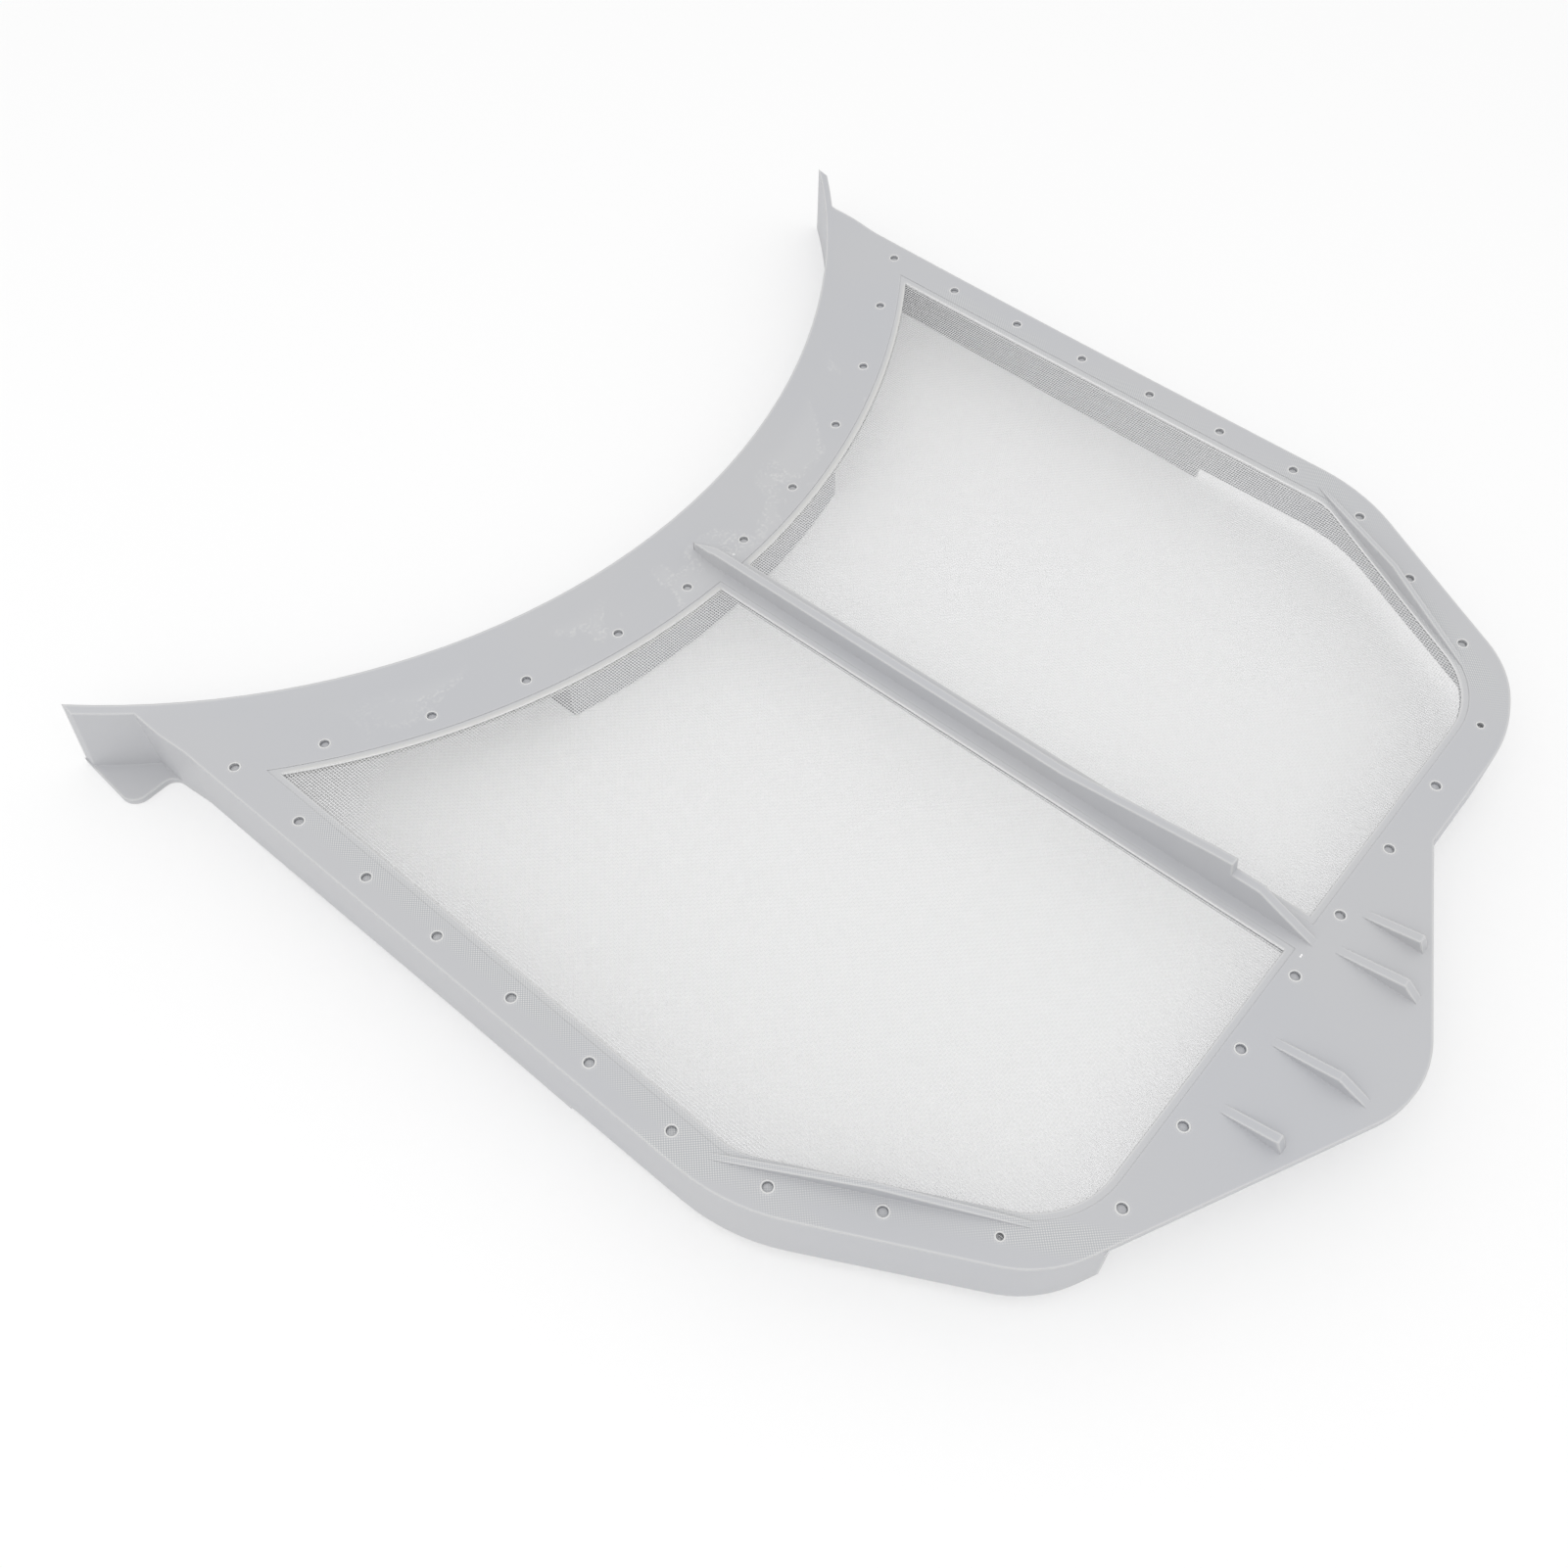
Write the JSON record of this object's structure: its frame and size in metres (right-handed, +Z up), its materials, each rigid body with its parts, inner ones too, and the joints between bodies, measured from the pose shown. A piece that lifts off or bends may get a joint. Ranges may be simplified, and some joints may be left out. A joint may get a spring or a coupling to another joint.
{
  "type": "tumble dryer lint filter",
  "caption": "Flat lint filter: a moulded plastic frame with a dished deck, a curved front flange, side skirts and a ribbed tongue, holding a woven mesh.",
  "frame": {"origin": "centre of the footprint, on the plane that the filter stands on", "axes": "+X to the right wing, +Y towards the curved front edge, +Z up from the table"},
  "size_m": [0.3446, 0.352, 0.0377],
  "materials": {
    "frame_plastic": "light grey injection-moulded plastic, satin, with soft flow marks and the weave printed through on the thin rails",
    "mesh_thread": "white square-woven monofilament"
  },
  "bodies": {
    "root": {"frame": "frame_plastic", "mesh": "mesh_thread"}
  },
  "joints": []
}
